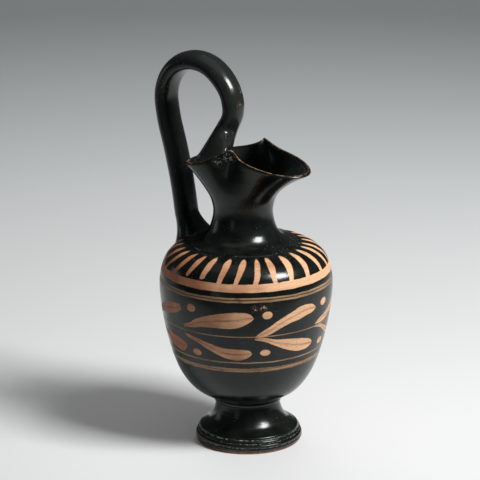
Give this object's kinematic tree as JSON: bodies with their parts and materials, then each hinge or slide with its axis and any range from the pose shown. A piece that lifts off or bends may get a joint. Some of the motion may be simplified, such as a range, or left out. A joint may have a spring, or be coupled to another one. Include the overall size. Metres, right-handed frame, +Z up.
{
  "type": "ceramic jug",
  "caption": "Small footed wine jug with a rounded body, narrow neck, three-lobed pouring mouth and a tall looped handle.",
  "frame": {"origin": "on the ground, under the middle of the jug's overall box", "axes": "+Z up, +X towards the pouring spout, the handle on the -X side, Y across the jug"},
  "size_m": [0.0866, 0.0752, 0.1697],
  "materials": {
    "gloss": "glossy black slip over orange clay, with painted bands, tongues and a leaf wreath left in the clay's orange"
  },
  "bodies": {
    "root": {"jug": "gloss"}
  },
  "joints": []
}
